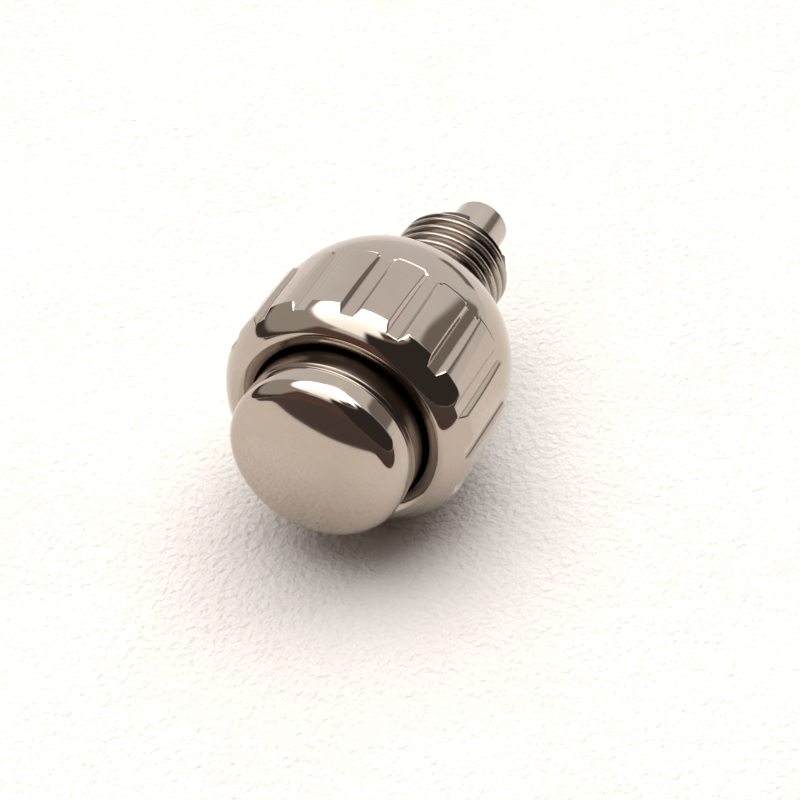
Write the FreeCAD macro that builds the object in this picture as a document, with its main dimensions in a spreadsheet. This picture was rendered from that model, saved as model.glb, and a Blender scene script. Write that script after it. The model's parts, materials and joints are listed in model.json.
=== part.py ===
"""Screw-down chronograph pusher: a domed push head on a sprung stem, in a tube that screws into
the case, inside a fluted collar that runs up and down a thread on the tube.

Millimetres. The axis is Y. The origin is on the axis, in the plane of the tube's seat against the
case: the case thread runs to +Y, and the collar and the head stand out to -Y. +Z is up when the
watch lies on its back. The pose is the one with the collar screwed home and the head at rest.
"""
import math
import os

import FreeCAD
import Part
import Sketcher
from FreeCAD import Vector

doc = FreeCAD.newDocument("chronograph_pusher")

# Driving dimensions, in millimetres, degrees and counts. Lengths along the axis run from the
# piece's own front end, the end that faces the finger, unless the name says otherwise.
SIZES = [
    # Tube
    ("flange_radius", 1.85),
    ("flange_thickness", 0.55),
    ("lift_thread_radius", 1.5),
    ("lift_relief_width", 0.35),
    ("case_thread_radius", 1.25),
    ("case_thread_length", 2.2),
    ("case_relief_width", 0.3),
    ("lift_pitch", 0.35),
    ("lift_thread_depth", 0.2),
    ("case_pitch", 0.28),
    ("case_thread_depth", 0.16),
    ("thread_flat", 0.06),
    ("thread_relief_extra", 0.02),
    ("nut_run_out_turns", 0.7),
    ("tube_chamfer", 0.12),
    ("driver_slot_width", 0.4),
    ("driver_slot_depth", 0.35),
    ("chamber_floor_to_seat", 0.5),
    # Play between threads: axial on each flank, and radial at crest and root
    ("thread_flank_play", 0.03),
    ("thread_crest_play", 0.04),
    # Stem, its seals and what holds them
    ("stem_radius", 0.6),
    ("stem_running_play", 0.02),
    ("seal_section_radius", 0.2),
    ("seal_gap", 0.02),
    ("seal_wall_play", 0.01),
    ("washer_seat", 0.1),
    ("seal_spacer_thickness", 0.2),
    ("gland_washer_thickness", 0.15),
    ("washer_play", 0.02),
    ("spigot_radius", 0.5),
    ("spigot_length", 0.66),
    ("stem_tip_reach", 1.45),
    ("stem_tip_chamfer", 0.1),
    ("clip_thickness", 0.32),
    ("clip_outer_radius", 1.02),
    ("clip_neck_radius", 0.42),
    ("clip_mouth_half_angle", 34),
    ("clip_mouth_turn", 45),
    ("clip_bite_angle", 120),
    ("clip_bite_radius", 0.17),
    ("clip_gap", 0.01),
    ("clip_neck_play", 0.02),
    # Head
    ("cap_radius", 1.88),
    ("cap_to_rim", 0.51),
    ("cap_plate", 0.6),
    ("cap_side", 0.42),
    ("cap_edge_radius", 0.32),
    ("dome_radius", 9.0),
    ("cap_rear_bevel", 0.04),
    ("undercut_depth", 0.05),
    ("undercut_width", 0.07),
    ("skirt_radius", 1.86),
    ("skirt_wall", 0.28),
    ("skirt_past_rim", 0.32),
    ("boss_wall", 0.25),
    ("boss_length", 0.5),
    ("spigot_end_play", 0.02),
    # Collar
    ("collar_length", 3.82),
    ("collar_off_case", 0.1),
    ("collar_home_gap", 0.02),
    ("bore_play", 0.08),
    ("bore_bevel", 0.23),
    ("bore_bevel_depth", 0.115),
    ("rim_width", 0.2),
    ("land_radius", 2.73),
    ("land_front", 0.56),
    ("land_back", 2.4),
    ("land_front_drop", 0.02),
    ("land_back_drop", 0.05),
    ("land_step", 0.03),
    ("land_arc_radius", 12.0),
    ("shoulder_arc_radius", 0.52),
    ("groove_depth", 0.116),
    ("groove_floor_width", 0.25),
    ("groove_flank_angle", 50),
    ("flute_count", 16),
    ("flute_turn", 1.4),
    ("band_arc_radius", 2.15),
    ("back_radius", 2.12),
    ("back_bevel", 0.03),
    ("flange_play", 0.07),
    # Gaskets and spring
    ("lock_gasket_thickness", 0.22),
    ("lock_gasket_play", 0.05),
    ("case_gasket_section", 0.18),
    ("case_gasket_stand_out", 0.1),
    ("case_gasket_inner_play", 0.05),
    ("case_gasket_outer_play", 0.03),
    ("spring_wire_radius", 0.11),
    ("spring_wall_play", 0.05),
    ("spring_turns", 7),
    ("spring_end_gap", 0.02),
    # Travels that the inside has to leave room for
    ("push_travel", 0.8),
    ("lift_travel", 0.875),
    ("travel_margin", 0.05),
    ("push_stop_gap", 0.1),
]

# Sizes that follow from the ones above. A place named _at is along the row's Y axis.
DERIVED = [
    ("skirt_inner", "skirt_radius - skirt_wall"),
    ("bore_radius", "skirt_radius + bore_play"),
    ("rim_inner", "bore_radius + bore_bevel"),
    ("rim_outer", "rim_inner + rim_width"),
    ("floor_radius", "land_radius - groove_depth"),
    ("collar_at", "0 - collar_off_case - collar_length"),
    ("cap_rear_at", "collar_at - cap_to_rim"),
    ("dome_sine", "(cap_radius - cap_edge_radius) / (dome_radius - cap_edge_radius)"),
    ("dome_cosine", "sqrt(1 - dome_sine ^ 2)"),
    ("dome_edge", "dome_radius * dome_sine"),
    ("dome_rise", "dome_radius * (1 - dome_cosine)"),
    ("cap_edge_end", "dome_rise + cap_edge_radius * dome_cosine"),
    ("cap_depth", "cap_edge_end + cap_side"),
    ("head_at", "cap_rear_at - cap_depth"),
    ("skirt_end", "cap_depth + cap_to_rim + skirt_past_rim"),
    ("boss_end", "cap_plate + boss_length"),
    ("boss_radius", "spigot_radius + boss_wall"),
    ("spigot_bottom", "boss_end - spigot_length - spigot_end_play"),
    ("stem_at", "head_at + boss_end - spigot_length"),
    ("clip_at", "case_thread_length + clip_gap"),
    ("neck_from", "clip_at - stem_at"),
    ("neck_to", "neck_from + clip_thickness + clip_neck_play"),
    ("stem_length", "case_thread_length + stem_tip_reach - stem_at"),
    ("cap_face_at", "head_at + cap_plate"),
    ("tube_reach", "0 - cap_face_at - push_travel - push_stop_gap"),
    ("guide_radius", "stem_radius + stem_running_play"),
    ("seal_middle", "guide_radius + seal_section_radius"),
    ("chamber_radius", "seal_middle + seal_section_radius + seal_wall_play"),
    ("spring_bore_radius", "chamber_radius + washer_seat"),
    ("chamber_floor", "tube_reach - chamber_floor_to_seat"),
    ("chamber_length", "4 * seal_section_radius + seal_spacer_thickness + 3 * seal_gap"),
    ("chamber_top", "chamber_floor - chamber_length"),
    ("inner_seal_at", "0 - chamber_floor_to_seat - 2 * seal_section_radius"),
    ("spacer_at", "inner_seal_at - seal_gap - seal_spacer_thickness"),
    ("outer_seal_at", "spacer_at - seal_gap - 2 * seal_section_radius"),
    ("gland_at", "outer_seal_at - seal_gap - gland_washer_thickness"),
    ("spring_room", "gland_at - cap_face_at"),
    ("spring_radius", "spring_bore_radius - spring_wall_play - spring_wire_radius"),
    ("lift_root", "lift_thread_radius - lift_thread_depth"),
    ("case_root", "case_thread_radius - case_thread_depth"),
    ("thread_overcut", "thread_flat / 2"),
    ("lift_slope", "(lift_pitch - 2 * thread_flat) / (2 * lift_thread_depth)"),
    ("case_slope", "(case_pitch - 2 * thread_flat) / (2 * case_thread_depth)"),
    ("gasket_middle", "case_root + case_gasket_inner_play + case_gasket_section"),
    ("gasket_recess_radius", "gasket_middle + case_gasket_section + case_gasket_outer_play"),
    ("gasket_recess", "2 * case_gasket_section - case_gasket_stand_out"),
    ("nut_bore", "lift_root + thread_crest_play"),
    ("nut_root", "lift_thread_radius + thread_crest_play"),
    ("nut_back", "collar_length + collar_off_case - flange_thickness - collar_home_gap"),
    ("lock_face", "skirt_past_rim + push_travel + lift_travel + travel_margin"),
    ("nut_front", "lock_face + lock_gasket_thickness + seal_gap"),
    ("nut_phase", "0 - tube_reach - lift_pitch / 2 - collar_at"),
    ("nut_turns_in", "floor((nut_front - nut_phase) / lift_pitch - nut_run_out_turns)"),
    ("nut_thread_from", "nut_phase + nut_turns_in * lift_pitch"),
    ("nut_thread_run", "nut_back - nut_thread_from + nut_run_out_turns * lift_pitch"),
]

ALIASES = [name for name, _ in SIZES + DERIVED]


def cells(expression):
    """The expression with each size's name pointing at its cell in the sheet."""
    words = expression.replace("(", "( ").replace(")", " )").split(" ")
    return " ".join("dims." + word if word in ALIASES else word for word in words)


def fill_sheet():
    sheet = doc.addObject("Spreadsheet::Sheet", "dims")
    for row, (name, value) in enumerate(SIZES, start=1):
        sheet.set(f"A{row}", name)
        sheet.set(f"B{row}", str(value))
        sheet.setAlias(f"B{row}", name)
    for row, (name, formula) in enumerate(DERIVED, start=len(SIZES) + 1):
        sheet.set(f"A{row}", name)
        sheet.setAlias(f"B{row}", name)
    for row, (name, formula) in enumerate(DERIVED, start=len(SIZES) + 1):
        sheet.set(f"B{row}", "=" + formula)
    doc.recompute()
    return sheet


dims = fill_sheet()


def value(expression):
    """What an expression comes to now, as a plain number."""
    return float(dims.evalExpression(cells(expression).replace("dims.", "")))


def origin_item(body, role):
    return next(item for item in body.Origin.OriginFeatures if item.Role == role)


def new_body(name, place="0"):
    """A body whose own front end sits at the given place along the axis."""
    body = doc.addObject("PartDesign::Body", name)
    body.Label = name
    body.setExpression("Placement.Base.y", cells(place))
    return body


def new_sketch(body, name, role):
    sketch = body.newObject("Sketcher::SketchObject", name)
    sketch.AttachmentSupport = (origin_item(body, role), "")
    sketch.MapMode = "FlatFace"
    return sketch


def turn_sketch(sketch, angle):
    """Turn a sketch that lies across the axis, from +X towards +Z."""
    sketch.AttachmentOffset.Rotation.Axis = Vector(0, 0, 1)
    sketch.setExpression("AttachmentOffset.Rotation.Angle", cells(angle))


def bind(sketch, kind, where, expression):
    """Add one constraint whose size follows the sheet. A size below zero is measured backwards."""
    size = value(expression)
    if abs(size) < 1e-9:
        axis = -2 if kind == "DistanceX" else -1
        sketch.addConstraint(Sketcher.Constraint("PointOnObject", where[0], where[1], axis))
        return
    if kind == "Radius":
        constraint = Sketcher.Constraint(kind, where[0], size)
    elif size > 0:
        constraint = Sketcher.Constraint(kind, -1, 1, where[0], where[1], size)
    else:
        constraint = Sketcher.Constraint(kind, where[0], where[1], -1, 1, -size)
    index = sketch.addConstraint(constraint)
    name = f"size_{index}"
    sketch.renameConstraint(index, name)
    formula = cells(expression)
    sketch.setExpression(f"Constraints.{name}", formula if size > 0 else f"0 - ({formula})")


def arc_edge(start, end, radius):
    """An arc from start to end that bulges to the right of the way there, or to the left when
    the radius is negative. Returns the arc and which of its ends is the start."""
    half = (end - start) * 0.5
    right = Vector(half.y, -half.x, 0)
    right.normalize()
    rise = math.sqrt(radius ** 2 - half.Length ** 2)
    side = 1 if radius > 0 else -1
    centre = start + half - right * (rise * side)
    angles = [math.atan2((p - centre).y, (p - centre).x) for p in (start, end)]
    if side < 0:
        angles.reverse()
    if angles[1] < angles[0]:
        angles[1] += 2 * math.pi
    circle = Part.Circle(centre, Vector(0, 0, 1), abs(radius))
    return Part.ArcOfCircle(circle, angles[0], angles[1]), (1 if side > 0 else 2)


def outline(body, name, corners, arcs=None, role="XY_Plane"):
    """A closed outline. Corners are pairs of expressions, and arcs gives a radius to the edge
    that leaves a corner, by the corner's number. In the XY plane a pair is radius, length."""
    arcs = arcs or {}
    sketch = new_sketch(body, name, role)
    points = [Vector(value(x), value(y), 0) for x, y in corners]
    first_end = []
    for i, start in enumerate(points):
        end = points[(i + 1) % len(points)]
        if i in arcs:
            edge, first = arc_edge(start, end, value(arcs[i]))
        else:
            edge, first = Part.LineSegment(start, end), 1
        sketch.addGeometry(edge, False)
        first_end.append(first)
    for i, first in enumerate(first_end):
        before = (i - 1) % len(points)
        last = 3 - first_end[before]
        sketch.addConstraint(Sketcher.Constraint("Coincident", before, last, i, first))
    for i, (x, y) in enumerate(corners):
        bind(sketch, "DistanceX", (i, first_end[i]), x)
        bind(sketch, "DistanceY", (i, first_end[i]), y)
    for i, radius in arcs.items():
        bind(sketch, "Radius", (i,), radius.lstrip("-"))
    return sketch


def disc(body, name, x, y, radius, role="XY_Plane"):
    """A circle with its centre at x, y."""
    sketch = new_sketch(body, name, role)
    centre = Vector(value(x), value(y), 0)
    sketch.addGeometry(Part.Circle(centre, Vector(0, 0, 1), value(radius)), False)
    bind(sketch, "DistanceX", (0, 3), x)
    bind(sketch, "DistanceY", (0, 3), y)
    bind(sketch, "Radius", (0,), radius)
    return sketch


def revolve(body, sketch):
    turned = body.newObject("PartDesign::Revolution", sketch.Name + "_turned")
    turned.Profile = sketch
    turned.ReferenceAxis = (sketch, ["V_Axis"])
    turned.Angle = 360
    doc.recompute()
    return turned


def pocket(body, sketch, depth):
    """Cut the sketch, which lies across the axis, from the front end towards the case."""
    cut = body.newObject("PartDesign::Pocket", sketch.Name + "_cut")
    cut.Profile = sketch
    cut.setExpression("Length", cells(depth))
    doc.recompute()
    return cut


def helix(body, sketch, kind, pitch, height):
    """Sweep the sketch up the axis, a pitch a turn, with a right-hand lead."""
    swept = body.newObject(f"PartDesign::{kind}Helix", sketch.Name + "_swept")
    swept.Profile = sketch
    swept.ReferenceAxis = (sketch, ["V_Axis"])
    swept.Mode = "pitch-height-angle"
    swept.setExpression("Pitch", cells(pitch))
    swept.setExpression("Height", cells(height))
    doc.recompute()
    return swept


def ring(name, place, inner, outer, thickness):
    """A flat ring."""
    body = new_body(name, place)
    corners = [(inner, "0"), (outer, "0"), (outer, thickness), (inner, thickness)]
    revolve(body, outline(body, name + "_section", corners))
    return body


def cord_ring(name, place, middle, section):
    """A ring of round rubber section, its front at the given place."""
    body = new_body(name, place)
    revolve(body, disc(body, name + "_section", middle, section, section))
    return body


def thread_section(body, name, centre, root, root_half, mouth, mouth_half):
    """The section of a thread groove: narrow at its root radius, wide at its mouth radius."""
    corners = [
        (root, f"{centre} - {root_half}"),
        (mouth, f"{centre} - {mouth_half}"),
        (mouth, f"{centre} + {mouth_half}"),
        (root, f"{centre} + {root_half}"),
    ]
    return outline(body, name, corners)


def outer_thread(body, kind, centre, run):
    """Cut the lift or the case thread, a right-hand V, into the tube. The groove starts at centre
    and runs up the axis."""
    crest = f"{kind}_thread_radius + thread_overcut"
    mouth_half = f"(({kind}_pitch - thread_flat) / 2 + thread_overcut * {kind}_slope)"
    section = thread_section(
        body, f"{kind}_thread", centre, f"{kind}_root", "thread_flat / 2", crest, mouth_half
    )
    return helix(body, section, "Subtractive", f"{kind}_pitch", run)


def make_tube():
    body = new_body("pusher_tube", "0 - tube_reach")
    total = "tube_reach + case_thread_length"
    relief_front = "tube_reach - flange_thickness - lift_relief_width"
    recess_floor = "tube_reach - gasket_recess"
    relief_back = "tube_reach + case_relief_width"
    corners = [
        ("spring_bore_radius", "0"),
        ("lift_thread_radius - tube_chamfer", "0"),
        ("lift_thread_radius", "tube_chamfer"),
        ("lift_thread_radius", relief_front),
        ("lift_root - thread_relief_extra", relief_front),
        ("lift_root - thread_relief_extra", "tube_reach - flange_thickness"),
        ("flange_radius", "tube_reach - flange_thickness"),
        ("flange_radius", "tube_reach"),
        ("gasket_recess_radius", "tube_reach"),
        ("gasket_recess_radius", recess_floor),
        ("case_root - thread_relief_extra", recess_floor),
        ("case_root - thread_relief_extra", relief_back),
        ("case_thread_radius", relief_back),
        ("case_thread_radius", f"{total} - tube_chamfer"),
        ("case_thread_radius - tube_chamfer", total),
        ("guide_radius", total),
        ("guide_radius", "chamber_floor"),
        ("chamber_radius", "chamber_floor"),
        ("chamber_radius", "chamber_top"),
        ("spring_bore_radius", "chamber_top"),
    ]
    revolve(body, outline(body, "tube_section", corners))
    lift_run = f"{relief_front} + lift_relief_width / 2 + lift_pitch"
    outer_thread(body, "lift", "0 - lift_pitch", lift_run)
    case_start = "tube_reach + case_relief_width / 2"
    case_run = "case_thread_length - case_relief_width / 2 + case_pitch"
    outer_thread(body, "case", case_start, case_run)
    half = "driver_slot_width / 2"
    across = "lift_thread_radius + tube_chamfer"
    slot = [
        (f"0 - ({across})", f"0 - {half}"),
        (across, f"0 - {half}"),
        (across, half),
        (f"0 - ({across})", half),
    ]
    pocket(body, outline(body, "driver_slot", slot, role="XZ_Plane"), "driver_slot_depth")
    return body


def make_collar():
    body = new_body("locking_collar", "collar_at")
    corners = [
        ("rim_outer", "0"),
        ("land_radius - land_front_drop", "land_front"),
        ("land_radius - land_back_drop", "land_back"),
        ("floor_radius", "land_back + land_step"),
        ("back_radius", "collar_length - back_bevel"),
        ("back_radius - back_bevel", "collar_length"),
        ("flange_radius + flange_play", "collar_length"),
        ("flange_radius + flange_play", "nut_back"),
        ("nut_bore", "nut_back"),
        ("nut_bore", "nut_front"),
        ("bore_radius", "nut_front"),
        ("bore_radius", "bore_bevel_depth"),
        ("rim_inner", "0"),
    ]
    arcs = {0: "shoulder_arc_radius", 1: "land_arc_radius", 3: "band_arc_radius"}
    revolve(body, outline(body, "collar_section", corners, arcs))
    thread = thread_section(
        body,
        "collar_thread",
        "nut_thread_from",
        "nut_root",
        "(thread_flat / 2 - thread_crest_play * lift_slope + thread_flank_play)",
        "nut_bore - thread_overcut",
        "(thread_flat / 2 + (lift_thread_depth - thread_crest_play + thread_overcut) * lift_slope"
        " + thread_flank_play)",
    )
    helix(body, thread, "Subtractive", "lift_pitch", "nut_thread_run")
    half = "groove_floor_width / 2"
    past = "groove_depth * 2"
    wide = f"({half} + {past} * tan(groove_flank_angle))"
    flute = [
        ("floor_radius", f"0 - {half}"),
        (f"floor_radius + {past}", f"0 - {wide}"),
        (f"floor_radius + {past}", wide),
        ("floor_radius", half),
    ]
    sketch = outline(body, "flute", flute, role="XZ_Plane")
    turn_sketch(sketch, "0 - flute_turn")
    cut = pocket(body, sketch, "land_back + land_step / 2")
    pattern = body.newObject("PartDesign::PolarPattern", "flutes")
    pattern.Originals = [cut]
    pattern.Axis = (origin_item(body, "Y_Axis"), [""])
    pattern.Angle = 360
    pattern.setExpression("Occurrences", cells("flute_count"))
    body.Tip = pattern
    doc.recompute()
    return body


def make_head_cap():
    body = new_body("head_cap", "head_at")
    behind = "cap_depth + undercut_width"
    corners = [
        ("0", "0"),
        ("dome_edge", "dome_rise"),
        ("cap_radius", "cap_edge_end"),
        ("cap_radius", "cap_depth - cap_rear_bevel"),
        ("cap_radius - cap_rear_bevel", "cap_depth"),
        ("skirt_radius - undercut_depth", "cap_depth"),
        ("skirt_radius - undercut_depth", behind),
        ("skirt_radius - cap_rear_bevel", behind),
        ("skirt_radius", f"{behind} + cap_rear_bevel"),
        ("skirt_radius", "skirt_end"),
        ("skirt_inner", "skirt_end"),
        ("skirt_inner", "cap_plate"),
        ("boss_radius", "cap_plate"),
        ("boss_radius", "boss_end"),
        ("spigot_radius", "boss_end"),
        ("spigot_radius", "spigot_bottom"),
        ("0", "spigot_bottom"),
    ]
    arcs = {0: "dome_radius", 1: "cap_edge_radius"}
    revolve(body, outline(body, "cap_section", corners, arcs))
    return body


def make_stem():
    body = new_body("stem", "stem_at")
    corners = [
        ("0", "0"),
        ("spigot_radius", "0"),
        ("spigot_radius", "spigot_length"),
        ("stem_radius", "spigot_length"),
        ("stem_radius", "neck_from"),
        ("clip_neck_radius", "neck_from"),
        ("clip_neck_radius", "neck_to"),
        ("stem_radius", "neck_to"),
        ("stem_radius", "stem_length - stem_tip_chamfer"),
        ("stem_radius - stem_tip_chamfer", "stem_length"),
        ("0", "stem_length"),
    ]
    revolve(body, outline(body, "stem_section", corners))
    return body


def make_clip():
    """A sprung E-clip: an open ring with three lugs that grip the stem's neck."""
    body = new_body("retaining_clip", "clip_at")
    inner = "(clip_neck_radius + clip_gap)"
    steps = 4
    reach = "(180 - clip_mouth_half_angle)"
    turns = [f"(180 + {reach} * {2 * i / steps - 1})" for i in range(steps + 1)]
    outside = [(f"clip_outer_radius * cos{a}", f"clip_outer_radius * sin{a}") for a in turns]
    inside = [(f"{inner} * cos{a}", f"{inner} * sin{a}") for a in reversed(turns)]
    arcs = {i: "clip_outer_radius" for i in range(steps)}
    arcs.update({steps + 1 + i: "-" + inner for i in range(steps)})
    plate = outline(body, "clip_plate", outside + inside, arcs, role="XZ_Plane")
    turn_sketch(plate, "clip_mouth_turn")
    pad = body.newObject("PartDesign::Pad", "clip_pad")
    pad.Profile = plate
    pad.setExpression("Length", cells("clip_thickness"))
    pad.Reversed = True
    doc.recompute()
    for side in (-1, 1):
        place = f"({side} * clip_bite_angle)"
        x = f"{inner} * cos{place}"
        y = f"{inner} * sin{place}"
        name = f"clip_bite_{side + 2}"
        bite = disc(body, name, x, y, "clip_bite_radius", "XZ_Plane")
        turn_sketch(bite, "clip_mouth_turn")
        pocket(body, bite, "clip_thickness")
    return body


def make_spring():
    """A right-hand compression spring with its ends ground flat."""
    body = new_body("return_spring", "cap_face_at")
    wire = disc(body, "spring_wire", "spring_radius", "0", "spring_wire_radius")
    coil = body.newObject("PartDesign::AdditiveHelix", "spring_coil")
    coil.Profile = wire
    coil.ReferenceAxis = (wire, ["V_Axis"])
    coil.Mode = "height-turns-angle"
    coil.setExpression("Height", cells("spring_room"))
    coil.setExpression("Turns", cells("spring_turns"))
    doc.recompute()
    wide = "spring_bore_radius"
    past = "2 * spring_wire_radius"
    ends = {
        "front": (f"0 - {past}", "spring_end_gap"),
        "back": ("spring_room - spring_end_gap", f"spring_room + {past}"),
    }
    for name, (low, high) in ends.items():
        corners = [("0", low), (wide, low), (wide, high), ("0", high)]
        section = outline(body, f"spring_{name}_grind", corners)
        groove = body.newObject("PartDesign::Groove", section.Name + "_cut")
        groove.Profile = section
        groove.ReferenceAxis = (section, ["V_Axis"])
        groove.Angle = 360
        doc.recompute()
    return body


def make_rings():
    washer_hole = "stem_radius + 2 * stem_running_play"
    return [
        ring(
            "gland_washer",
            "gland_at",
            washer_hole,
            "spring_bore_radius - washer_play",
            "gland_washer_thickness",
        ),
        ring(
            "seal_spacer",
            "spacer_at",
            washer_hole,
            "chamber_radius - washer_play",
            "seal_spacer_thickness",
        ),
        ring(
            "lock_gasket",
            "collar_at + lock_face",
            "lift_thread_radius + lock_gasket_play",
            "bore_radius - lock_gasket_play",
            "lock_gasket_thickness",
        ),
        cord_ring("outer_stem_seal", "outer_seal_at", "seal_middle", "seal_section_radius"),
        cord_ring("inner_stem_seal", "inner_seal_at", "seal_middle", "seal_section_radius"),
        cord_ring("case_gasket", "0 - gasket_recess", "gasket_middle", "case_gasket_section"),
    ]


def check(bodies):
    """Stop if any feature failed, or any piece isn't one sound solid."""
    doc.recompute()
    for item in doc.Objects:
        if "Invalid" in item.State or "Error" in item.State:
            raise RuntimeError(f"{item.Name} failed: {item.State}")
    for body in bodies:
        shape = body.Shape
        if shape.isNull() or not shape.isValid() or len(shape.Solids) != 1:
            raise RuntimeError(f"{body.Label} isn't one sound solid")


def write(bodies):
    os.makedirs("parts", exist_ok=True)
    for body in bodies:
        body.Shape.exportStep(os.path.join("parts", body.Label + ".step"))
        box = body.Shape.BoundBox
        print(f"{body.Label}: {body.Shape.Volume:.3f} mm3, y {box.YMin:.3f} to {box.YMax:.3f}")


pieces = [make_tube(), make_collar(), make_head_cap(), make_stem(), make_clip(), make_spring()]
pieces += make_rings()
check(pieces)
write(pieces)
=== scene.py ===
"""A screw-down chronograph pusher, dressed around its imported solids.

Lengths are written in millimetres and turn into metres where a mesh is made. The axis is Y: the
head looks towards -Y and the case thread points to +Y. +Z is up.
"""
import json
import math

import bpy
import numpy as np
from mathutils import Matrix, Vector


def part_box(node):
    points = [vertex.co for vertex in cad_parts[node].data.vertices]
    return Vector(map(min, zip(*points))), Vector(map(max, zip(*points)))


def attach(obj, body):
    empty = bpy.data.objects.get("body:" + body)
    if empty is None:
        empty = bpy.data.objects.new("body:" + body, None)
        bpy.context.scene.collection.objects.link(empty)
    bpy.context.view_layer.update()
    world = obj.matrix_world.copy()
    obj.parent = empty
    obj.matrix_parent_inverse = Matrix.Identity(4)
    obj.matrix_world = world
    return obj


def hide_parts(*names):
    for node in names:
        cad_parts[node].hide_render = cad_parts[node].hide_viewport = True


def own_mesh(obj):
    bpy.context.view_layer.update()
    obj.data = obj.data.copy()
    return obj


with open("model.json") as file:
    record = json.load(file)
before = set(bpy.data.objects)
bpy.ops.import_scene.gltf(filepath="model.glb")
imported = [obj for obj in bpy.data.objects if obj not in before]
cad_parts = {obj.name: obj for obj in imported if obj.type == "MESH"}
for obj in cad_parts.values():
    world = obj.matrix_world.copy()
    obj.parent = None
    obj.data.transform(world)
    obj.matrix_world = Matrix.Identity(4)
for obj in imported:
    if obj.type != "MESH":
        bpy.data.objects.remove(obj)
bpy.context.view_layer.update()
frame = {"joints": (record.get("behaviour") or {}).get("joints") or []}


# Tube
# The one piece that screws into the watch case. It is turned from steel bar: a case thread behind
# a flange, a coarser thread in front of it for the collar, and a bore for the seals and spring.
MM = 0.001


def front_of(node):
    """Where a node starts along the axis, in millimetres."""
    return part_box(node)[0].y / MM


def back_of(node):
    """Where a node ends along the axis, in millimetres."""
    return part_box(node)[1].y / MM


def radius_of(node):
    """The outer radius of a round node, in millimetres."""
    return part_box(node)[1].x / MM


def walk(*corners):
    """Straight runs from corner to corner, as radius and place along the axis."""
    return np.array(corners, float)


def curve(start, end, radius, count=40):
    """An arc from start to end. It bulges to the right of the way there when the radius is
    positive: the centre is the chord's middle, moved to the left by the root of the radius
    squared less half the chord squared."""
    start, end = np.array(start, float), np.array(end, float)
    half = (end - start) / 2
    right = np.array([half[1], -half[0]]) / math.hypot(*half)
    side = math.copysign(1, radius)
    centre = start + half - right * side * math.sqrt(radius**2 - half @ half)
    first, last = (math.atan2(*(p - centre)[::-1]) for p in (start, end))
    turn = (last - first + math.pi) % (2 * math.pi) - math.pi
    angles = first + turn * np.linspace(0, 1, count)
    return centre + abs(radius) * np.stack([np.cos(angles), np.sin(angles)], 1)


def evenly(line, step):
    """The same line walked again in equal steps."""
    along = np.concatenate([[0], np.cumsum(np.hypot(*np.diff(line, axis=0).T))])
    at = np.linspace(0, along[-1], int(along[-1] / step) + 2)
    return np.stack([np.interp(at, along, line[:, i]) for i in (0, 1)], 1)


def polished(line, wear, closed=True, step=0.004):
    """Round every corner as a polishing wheel does: each point goes to the mean of the points
    around it, weighted by a bell curve whose half width is the wear. A line that starts and ends
    on the axis is mirrored there first, so it crosses the axis squarely."""
    line = np.vstack([line, line[:1]]) if closed else line
    line = evenly(line, step)
    reach = int(4 * wear / step) + 1
    bell = np.exp(-0.5 * (np.arange(-reach, reach + 1) * step / wear) ** 2)
    bell /= bell.sum()
    if closed:
        line = line[:-1]
        padded = np.vstack([line[-reach:], line, line[:reach]])
    else:
        mirror = np.array([-1, 1])
        padded = np.vstack([line[reach:0:-1] * mirror, line, line[-2 : -reach - 2 : -1] * mirror])
    soft = np.stack([np.convolve(padded[:, i], bell, "valid") for i in (0, 1)], 1)
    return np.vstack([soft, soft[:1]]) if closed else soft


def rows(line, count, close_up=0.75, extra=()):
    """Pick points on a line. The close_up share of them goes where the line turns, in step with
    how far it turns, and the rest goes by length. Extra holds stretches with rows of their own
    for a thread or an edge, as (low, high, step, least, most): two places along the axis, the
    step between rows, and the two radii that the line has to lie between."""
    move = np.diff(line, axis=0)
    length = np.hypot(*move.T)
    heading = np.unwrap(np.arctan2(move[:, 1], move[:, 0]))
    bend = np.abs(np.diff(heading, prepend=heading[0]))
    share = (1 - close_up) * length / length.sum() + close_up * bend / bend.sum()
    spent = np.concatenate([[0], np.cumsum(share)])
    along = np.concatenate([[0], np.cumsum(length)])
    at = np.interp(np.linspace(0, 1, count), spent, along)
    for low, high, step, least, most in extra:
        there = (line[:, 1] > low) & (line[:, 1] < high)
        there &= (line[:, 0] > least) & (line[:, 0] < most)
        span = along[there]
        keep = (at < span.min()) | (at > span.max())
        at = np.concatenate([at[keep], np.arange(span.min(), span.max(), step)])
    at = np.unique(np.sort(at))
    return np.stack([np.interp(at, along, line[:, i]) for i in (0, 1)], 1)


def shaped(name, points, faces):
    """Put points in millimetres and the faces between them into the scene as one smooth mesh."""
    mesh = bpy.data.meshes.new(name)
    mesh.from_pydata((points * MM).tolist(), [], faces)
    mesh.polygons.foreach_set("use_smooth", np.ones(len(mesh.polygons), bool))
    mesh.update()
    piece = bpy.data.objects.new(name, mesh)
    bpy.context.scene.collection.objects.link(piece)
    return piece


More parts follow.
